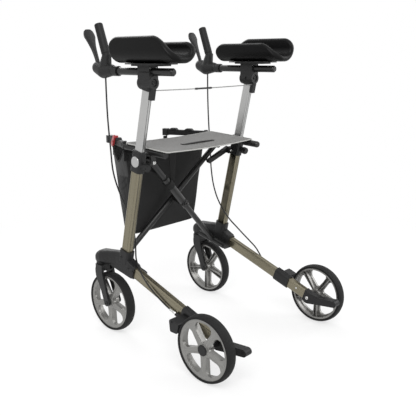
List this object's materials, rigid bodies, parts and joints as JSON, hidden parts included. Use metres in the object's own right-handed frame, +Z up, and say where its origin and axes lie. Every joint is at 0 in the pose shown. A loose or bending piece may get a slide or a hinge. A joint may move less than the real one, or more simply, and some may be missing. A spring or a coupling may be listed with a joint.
{
  "type": "upright walker",
  "caption": "Folding upright walker: leaning side frames on spoked wheels, cross brace, cloth seat, bag, and height-adjustable forearm rests with brake grips.",
  "frame": {"origin": "on the floor below the middle of the walker's box", "axes": "+X to the user's right, +Y forwards, +Z up"},
  "size_m": [0.603, 0.7037, 0.9947],
  "materials": {
    "anodised": "satin anodised",
    "silver": "satin",
    "black_plastic": "fine moulded grain",
    "black_metal": "satin coat",
    "brace_metal": "satin coat",
    "cable_rubber": "smooth sheath",
    "grip_rubber": "soft touch",
    "pad_foam": "skinned foam",
    "tyre": "matt",
    "rim_grey": "satin",
    "seat_cloth": "woven",
    "bag_cloth": "woven",
    "red_plastic": "glossy"
  },
  "bodies": {
    "left_frame": {"left_upright_tube": "anodised", "left_knee": "black_plastic", "left_lower_rail": "anodised", "left_collar": "black_plastic", "left_badge": "silver", "left_brake_housing": "black_plastic", "left_axle_bracket": "black_plastic", "left_brake_cable": "cable_rubber"},
    "left_post": {"left_inner_tube": "silver", "left_post_head": "black_plastic", "left_arm_plate": "black_plastic", "left_arm_pad": "pad_foam", "wire": "cable_rubber"},
    "left_handle": {"left_handle_tube": "black_metal", "left_grip_housing": "black_plastic", "left_grip": "grip_rubber"},
    "left_lever": {"left_brake_lever": "black_plastic"},
    "left_shoe": {"left_brake_shoe": "black_plastic"},
    "left_knob": {"left_height_knob": "black_plastic"},
    "left_fork": {"left_caster_fork": "black_plastic"},
    "left_caster": {"left_caster_tyre": "tyre", "left_caster_rim": "rim_grey"},
    "left_rear_wheel": {"left_rear_tyre": "tyre", "left_rear_rim": "rim_grey", "left_hub_cap": "black_plastic"},
    "left_link": {"left_fold_link": "black_plastic"},
    "left_rail": {"left_seat_rail": "black_metal", "seat": "seat_cloth", "bag": "bag_cloth"},
    "left_arm": {"left_bag_arm": "black_plastic"},
    "right_frame": {"right_upright_tube": "anodised", "right_knee": "black_plastic", "right_lower_rail": "anodised", "right_collar": "black_plastic", "right_badge": "silver", "right_brake_housing": "black_plastic", "right_axle_bracket": "black_plastic", "right_brake_cable": "cable_rubber"},
    "right_post": {"right_inner_tube": "silver", "right_post_head": "black_plastic", "right_arm_plate": "black_plastic", "right_arm_pad": "pad_foam"},
    "right_handle": {"right_handle_tube": "black_metal", "right_grip_housing": "black_plastic", "right_grip": "grip_rubber"},
    "right_lever": {"right_brake_lever": "black_plastic"},
    "right_shoe": {"right_brake_shoe": "black_plastic"},
    "right_knob": {"right_height_knob": "black_plastic"},
    "right_fork": {"right_caster_fork": "black_plastic"},
    "right_caster": {"right_caster_tyre": "tyre", "right_caster_rim": "rim_grey"},
    "right_rear_wheel": {"right_rear_tyre": "tyre", "right_rear_rim": "rim_grey", "right_hub_cap": "black_plastic"},
    "right_link": {"right_fold_link": "black_plastic"},
    "right_rail": {"right_seat_rail": "black_metal"},
    "right_arm": {"right_bag_arm": "black_plastic"},
    "latch": {"latch": "red_plastic"},
    "brace_a": {"front_brace": "brace_metal"},
    "brace_b": {"rear_brace": "brace_metal"}
  },
  "joints": [
    {"name": "fold", "type": "hinge", "parent": "left_frame", "child": "brace_a", "pos_m": [-0.198, 0.21536, 0.23968], "axis": [0, -0.9748, -0.2233], "range_deg": [0, 36], "deforming": ["seat", "bag", "wire"]},
    {"name": "cross", "type": "hinge", "parent": "brace_a", "child": "brace_b", "pos_m": [0, 0.14881, 0.42052], "axis": [0, -0.9748, -0.2233], "range_deg": [-72, 0]},
    {"name": "right_foot", "type": "hinge", "parent": "brace_b", "child": "right_frame", "pos_m": [0.198, 0.1676, 0.22874], "axis": [0, -0.9748, -0.2233], "range_deg": [0, 36]},
    {"name": "left_rail_pivot", "type": "hinge", "parent": "brace_b", "child": "left_rail", "pos_m": [-0.177, 0.08678, 0.58161], "axis": [0, -0.9748, -0.2233], "range_deg": [0, 36]},
    {"name": "right_rail_pivot", "type": "hinge", "parent": "brace_a", "child": "right_rail", "pos_m": [0.177, 0.13454, 0.59254], "axis": [0, -0.9748, -0.2233], "range_deg": [-36, 0]},
    {"name": "left_arm_swing", "type": "hinge", "parent": "left_rail", "child": "left_arm", "pos_m": [-0.19, 0.19225, 0.61974], "axis": [0, 0, 1], "range_deg": [0, 22]},
    {"name": "right_arm_swing", "type": "hinge", "parent": "right_rail", "child": "right_arm", "pos_m": [0.19, 0.19225, 0.61974], "axis": [0, 0, -1], "range_deg": [0, 22]},
    {"name": "left_link_swing", "type": "hinge", "parent": "left_frame", "child": "left_link", "pos_m": [-0.2125, 0.11356, 0.5744], "axis": [0, -0.9748, -0.2233], "range_deg": [0, 94.1]},
    {"name": "right_link_swing", "type": "hinge", "parent": "right_frame", "child": "right_link", "pos_m": [0.2125, 0.11356, 0.5744], "axis": [0, 0.9748, 0.2233], "range_deg": [0, 94.1]},
    {"name": "left_height", "type": "slide", "parent": "left_frame", "child": "left_post", "axis": [0, -0.2233, 0.9748], "range_m": [-0.03, 0.1], "deforming": ["left_brake_cable"]},
    {"name": "left_reach", "type": "slide", "parent": "left_post", "child": "left_handle", "axis": [0, 1, 0], "range_m": [-0.015, 0.06], "deforming": ["left_brake_cable"]},
    {"name": "left_lever_pull", "type": "hinge", "parent": "left_handle", "child": "left_lever", "pos_m": [-0.2305, 0.25374, 0.86348], "axis": [1, 0, 0], "range_deg": [0, 10], "stiffness_Nm_per_rad": 0.6, "springref_deg": -5.73},
    {"name": "left_shoe_turn", "type": "hinge", "parent": "left_frame", "child": "left_shoe", "pos_m": [-0.27, -0.11385, 0.146], "axis": [-1, 0, 0], "range_deg": [0, 4]},
    {"name": "left_knob_turn", "type": "hinge", "parent": "left_frame", "child": "left_knob", "pos_m": [-0.2305, 0.05679, 0.57371], "axis": [0, -0.9748, -0.2233], "range_deg": [0, 360]},
    {"name": "left_swivel", "type": "hinge", "parent": "left_frame", "child": "left_fork", "pos_m": [-0.2355, 0.27215, 0.225], "axis": [0, 0, 1], "continuous": true},
    {"name": "left_caster_spin", "type": "hinge", "parent": "left_fork", "child": "left_caster", "pos_m": [-0.2355, 0.22914, 0.1], "axis": [1, 0, 0], "continuous": true},
    {"name": "left_rear_spin", "type": "hinge", "parent": "left_frame", "child": "left_rear_wheel", "pos_m": [-0.283, -0.23986, 0.1], "axis": [1, 0, 0], "continuous": true},
    {"name": "right_height", "type": "slide", "parent": "right_frame", "child": "right_post", "axis": [0, -0.2233, 0.9748], "range_m": [-0.03, 0.1], "deforming": ["right_brake_cable"]},
    {"name": "right_reach", "type": "slide", "parent": "right_post", "child": "right_handle", "axis": [0, 1, 0], "range_m": [-0.015, 0.06], "deforming": ["right_brake_cable"]},
    {"name": "right_lever_pull", "type": "hinge", "parent": "right_handle", "child": "right_lever", "pos_m": [0.2305, 0.25374, 0.86348], "axis": [1, 0, 0], "range_deg": [0, 10], "stiffness_Nm_per_rad": 0.6, "springref_deg": -5.73},
    {"name": "right_shoe_turn", "type": "hinge", "parent": "right_frame", "child": "right_shoe", "pos_m": [0.27, -0.11385, 0.146], "axis": [-1, 0, 0], "range_deg": [0, 4]},
    {"name": "right_knob_turn", "type": "hinge", "parent": "right_frame", "child": "right_knob", "pos_m": [0.2305, 0.05679, 0.57371], "axis": [0, -0.9748, -0.2233], "range_deg": [0, 360]},
    {"name": "right_swivel", "type": "hinge", "parent": "right_frame", "child": "right_fork", "pos_m": [0.2355, 0.27215, 0.225], "axis": [0, 0, 1], "continuous": true},
    {"name": "right_caster_spin", "type": "hinge", "parent": "right_fork", "child": "right_caster", "pos_m": [0.2355, 0.22914, 0.1], "axis": [1, 0, 0], "continuous": true},
    {"name": "right_rear_spin", "type": "hinge", "parent": "right_frame", "child": "right_rear_wheel", "pos_m": [0.283, -0.23986, 0.1], "axis": [1, 0, 0], "continuous": true},
    {"name": "latch_turn", "type": "hinge", "parent": "left_arm", "child": "latch", "pos_m": [-0.16912, 0.26902, 0.62574], "axis": [-0.9272, 0.3746, 0], "range_deg": [0, 25]}
  ],
  "couplings": [
    {"joint": "cross", "follows": "fold", "ratio": -2},
    {"joint": "right_foot", "follows": "fold", "ratio": 1},
    {"joint": "left_rail_pivot", "follows": "fold", "ratio": 1},
    {"joint": "right_rail_pivot", "follows": "fold", "ratio": -1},
    {"joint": "left_arm_swing", "follows": "fold", "ratio": 0.61111},
    {"joint": "right_arm_swing", "follows": "fold", "ratio": 0.61111},
    {"joint": "left_link_swing", "follows": "fold", "ratio": 2.6111},
    {"joint": "right_link_swing", "follows": "fold", "ratio": 2.6111},
    {"joint": "left_shoe_turn", "follows": "left_lever_pull", "ratio": 0.4},
    {"joint": "right_height", "follows": "left_height", "ratio": 1},
    {"joint": "right_shoe_turn", "follows": "right_lever_pull", "ratio": 0.4}
  ]
}
